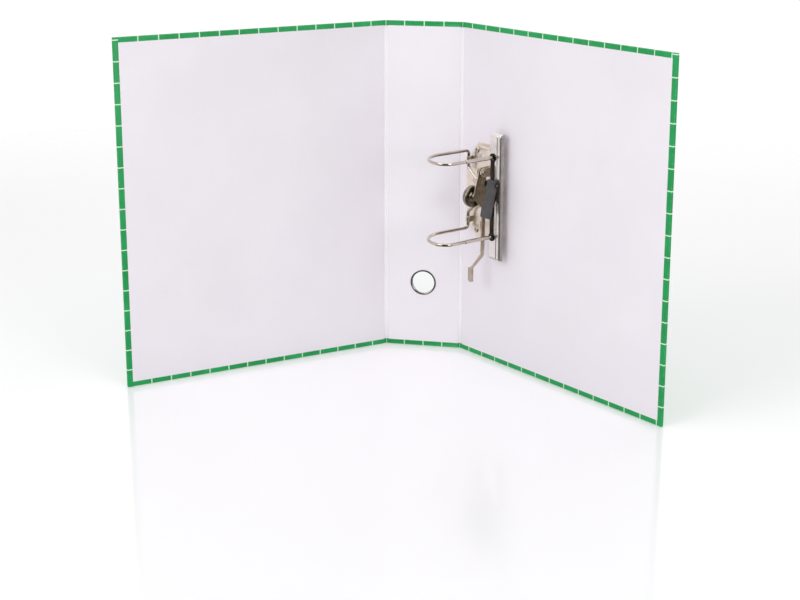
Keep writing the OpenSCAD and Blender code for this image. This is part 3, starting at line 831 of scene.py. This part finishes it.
def pressed_bar():
    """Steel bar folded from a strip, with a window at each side of the bridge and its ends turned down."""
    section = bar_section()
    dips = {61: 0.0, 62: 0.25, 62.7: 0.75, 63.2: 1.5, 63.5: 2.6}  # how far the top turns down, by distance
    half_rows = [WINDOW_FROM, WINDOW_TO, *dips]
    rows = [-z for z in reversed(half_rows)] + half_rows
    rail_from = 7  # the first strip of the top that runs past the windows
    flange_to = 9  # the flanges' lower edges, below this, stay level
    bm = bmesh.new()
    grid = []
    for z in rows:
        dip = dips.get(abs(z), 0.0)
        grid.append([bm.verts.new((u, z, n - (dip if n > flange_to else 0))) for u, n in section])
    for r, (low, high) in enumerate(zip(grid, grid[1:])):
        window = WINDOW_FROM <= abs(rows[r] + rows[r + 1]) / 2 <= WINDOW_TO
        for i in range(rail_from if window else 0, len(section) - 1):
            bm.faces.new((low[i], low[i + 1], high[i + 1], high[i]))
    bmesh.ops.delete(bm, geom=[v for v in bm.verts if not v.link_faces], context="VERTS")
    bmesh.ops.recalc_face_normals(bm, faces=bm.faces)
    if max(bm.faces, key=lambda f: f.calc_area()).normal.z < 0:
        bmesh.ops.reverse_faces(bm, faces=bm.faces)
    # faces that face sideways, the flanges, take the darker steel: painted shade
    for f in bm.faces:
        f.material_index = 1 if abs(f.normal.x) > 0.75 else 0
    bar = finish_mesh("folded_bar", bm, MECH, [BAR, SHADED_FLANGE], "compressor", ["compressor_bar"])
    thick = bar.modifiers.new("thick", "SOLIDIFY")
    thick.thickness = BAR_T * MM
    thick.offset = 0
    thick.use_even_offset = True
    for z in (POST_Z, -POST_Z):
        drill(bar, MECH, (POST_U, z, 10), BAR_HOLE_R)
    rounded(bar, 0.18, 2, 40)


def latch_ears():
    """The two lugs that hold the latch, with rounded tops."""
    centre_z, centre_n, radius, foot_n = 14, 14.5, 3, 10.4
    top = arc(centre_z, centre_n, radius, 0, 180, 12)
    outline = [(centre_z + radius, foot_n), *top, (centre_z - radius, foot_n)]
    lugs = [prism(outline, u, u + LUG_T, lambda z, n, u: (u, z, n)) for u in LUG_LEFTS]
    pair = finish_mesh("latch_lugs", merge(*lugs), MECH, [DARK], "compressor")
    rounded(pair, 0.2, 3, 40)


def bead(a, b, radius, rise):
    """A pressed rib on the base plate: a long low dome with round ends."""
    bm = bmesh.new()
    start, end = Vector(a), Vector(b)
    ahead = (end - start).normalized()
    side = Vector((-ahead.y, ahead.x))
    rings = []
    for level in range(6):
        tilt = math.radians(18 * level)
        reach, lift = radius * math.cos(tilt), rise * math.sin(tilt)
        ring = []
        for centre, base in ((end, -90), (start, 90)):
            for k in range(13):
                t = math.radians(base + 15 * k)
                p = centre + (ahead * math.cos(t) + side * math.sin(t)) * reach
                ring.append(bm.verts.new((p.x, p.y, PLATE_N + lift)))
        rings.append(ring)
    for low, high in zip(rings, rings[1:]):
        for i in range(len(low)):
            j = (i + 1) % len(low)
            bm.faces.new((low[i], low[j], high[j], high[i]))
    bm.faces.new(rings[-1])
    bm.faces.new(list(reversed(rings[0])))
    return bm


def blade_spring():
    """Flat spring under the latch, with its foot on the bar and its tip under the latch."""
    middle, half_w, half_t = 65.5, 1.5, 0.18
    path = [(middle, 5, 11.42), (middle, 0, 11.42), (middle, -6.5, 14.2), (middle, -12.6, 18.3)]
    flat = [(-half_w, -half_t), (half_w, -half_t), (half_w, half_t), (-half_w, half_t)]
    blade = tube(fillet(path, [6, 14], 3), flat, N)
    spring = finish_mesh(
        "latch_blade_spring", blade, MECH, [SPRING], None, ["latch_spring"], smooth=False
    )
    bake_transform(spring)


pressed_bar()
latch_ears()
blade_spring()
ribs = [
    bead((51, -38), (51, 38), 1.6, 0.55),
    bead((32, 44.5), (56, 44.5), 1.5, 0.5),
    bead((36, -44.5), (56, -44.5), 1.5, 0.5),
    bead((16, -12), (16, 3), 1.4, 0.45),
    bead((31, 31), (31, 38), 1.4, 0.45),
    bead((31, -38), (31, -31), 1.4, 0.45),
]
finish_mesh("base_plate_ribs", merge(*ribs), MECH, [NICKEL], "back_cover")

for name, surface, width in (
    ("base_plate", NICKEL, 0.22), ("lever", LEVER, 0.25), ("lock_strip", DARK, 0.2),
    ("arch_spring", SPRING, 0.12), ("latch_pin", RIVET, 0.15),
):
    refine(name, surface, width)


# ---------------------------------------------------------------- floor, light and camera, in metres

FLOOR_R = 2
FLOOR_GAP = 0.0003  # keeps the floor clear of the lower edges
FLOOR_GLOW = 0.13
FADE_FROM, FADE_TO = 0.7, 1.9
SURROUND, DOME = 1.05, 0.58  # strengths of the white seen behind, and of the soft light from all round
LIGHTS = (  # name, place, target, size and power
    ("key", (-1.5, -1.9, 1.25), (0.05, 0, 0.15), (1.8, 1.4), 24),
    ("fill", (1.7, -1.7, 0.75), (-0.15, 0, 0.12), (1.0, 1.0), 14),
    ("top", (0, 0.2, 2.2), (0, 0, 0), (2.2, 2.2), 6),
    ("backdrop", (0, 1.5, 1.1), (0, 0.5, 0), (2.4, 0.8), 7),
)
LOOK_AT = (-0.025, 0, 0.1511)
AZIMUTH, ELEVATION, PITCH = (math.radians(a) for a in (11.81, 13.33, 14.21))
DISTANCE = 1.613
LENS = 70.4
SHIFT = -0.09  # the photo's verticals were straightened, and a shift does part of that


def floor():
    """Pale glossy table that fades out into the white surround."""
    bm = bmesh.new()
    bmesh.ops.create_circle(bm, cap_ends=True, segments=96, radius=FLOOR_R)
    bmesh.ops.translate(bm, verts=bm.verts, vec=(0, 0, -FLOOR_GAP))
    mesh = bpy.data.meshes.new("floor")
    bm.to_mesh(mesh)
    bm.free()
    made, tree, shader, place = material("pale_floor")
    tone = noise(tree, place.outputs["Object"], 3, 2)
    pale = mix(tree, tone, srgb(244, 244, 245), srgb(241, 241, 242))
    feed(tree, shader, Base_Color=pale, Roughness=remap(tree, tone, 0.3, 0.7, 0.1, 0.14))
    shader.inputs["Specular IOR Level"].default_value = 0.5
    shader.inputs["Emission Color"].default_value = (1, 1, 1, 1)
    shader.inputs["Emission Strength"].default_value = FLOOR_GLOW
    length = node(tree, "ShaderNodeVectorMath", {0: place.outputs["Object"]}, operation="LENGTH")
    gone = remap(tree, length.outputs["Value"], FADE_FROM, FADE_TO, 0.0, 1.0)
    clear = node(tree, "ShaderNodeBsdfTransparent")
    fade = node(tree, "ShaderNodeMixShader", {0: gone, 1: shader.outputs[0], 2: clear.outputs[0]})
    tree.links.new(fade.outputs[0], tree.nodes["Material Output"].inputs["Surface"])
    mesh.materials.append(made)
    obj = bpy.data.objects.new("floor", mesh)
    obj.visible_glossy = False
    bpy.context.scene.collection.objects.link(obj)


def area_light(name, place, target, size, power):
    data = bpy.data.lights.new(name, "AREA")
    data.shape = "RECTANGLE"
    data.size, data.size_y = size
    data.energy = power
    obj = bpy.data.objects.new(name, data)
    obj.location = place
    obj.rotation_mode = "QUATERNION"
    obj.rotation_quaternion = (Vector(target) - Vector(place)).to_track_quat("-Z", "Y")
    obj.visible_camera = False
    bpy.context.scene.collection.objects.link(obj)


def studio():
    """A white surround for the view, and a room with dark and light parts for what shines."""
    world = bpy.data.worlds.new("studio")
    bpy.context.scene.world = world
    world.use_nodes = True
    tree = world.node_tree
    tree.nodes.clear()
    way = node(tree, "ShaderNodeSeparateXYZ", {0: node(tree, "ShaderNodeTexCoord").outputs["Generated"]})
    height = remap(tree, way.outputs[2], -0.25, 0.7, 0.42, 1.12)
    dim = remap(tree, way.outputs[1], -0.95, 0.1, 0.08, 1.0)
    shine = maths(tree, "MULTIPLY", height, dim)
    room = node(tree, "ShaderNodeBackground", {"Color": (1, 1, 1, 1), "Strength": shine})
    plain = node(tree, "ShaderNodeBackground", {"Color": (1, 1, 1, 1), "Strength": SURROUND})
    dome = node(tree, "ShaderNodeBackground", {"Color": (1, 0.985, 1, 1), "Strength": DOME})
    path = node(tree, "ShaderNodeLightPath").outputs
    lit = {0: path["Is Glossy Ray"], 1: dome.outputs[0], 2: room.outputs[0]}
    lit = node(tree, "ShaderNodeMixShader", lit).outputs[0]
    both = {0: path["Is Camera Ray"], 1: lit, 2: plain.outputs[0]}
    both = node(tree, "ShaderNodeMixShader", both).outputs[0]
    node(tree, "ShaderNodeOutputWorld", {"Surface": both})
    for light in LIGHTS:
        area_light(*light)


def outward(azimuth, elevation):
    """Direction from the object toward a viewer at these angles."""
    flat = math.cos(elevation)
    return Vector((math.sin(azimuth) * flat, -math.cos(azimuth) * flat, math.sin(elevation)))


def camera():
    data = bpy.data.cameras.new("camera")
    data.lens = LENS
    data.sensor_width = 36
    data.shift_y = SHIFT
    obj = bpy.data.objects.new("camera", data)
    obj.location = Vector(LOOK_AT) + outward(AZIMUTH, ELEVATION) * DISTANCE
    obj.rotation_mode = "QUATERNION"
    obj.rotation_quaternion = (-outward(AZIMUTH, PITCH)).to_track_quat("-Z", "Y")
    bpy.context.scene.collection.objects.link(obj)
    bpy.context.scene.camera = obj


floor()
studio()
camera()
bpy.context.scene.view_settings.view_transform = "Standard"
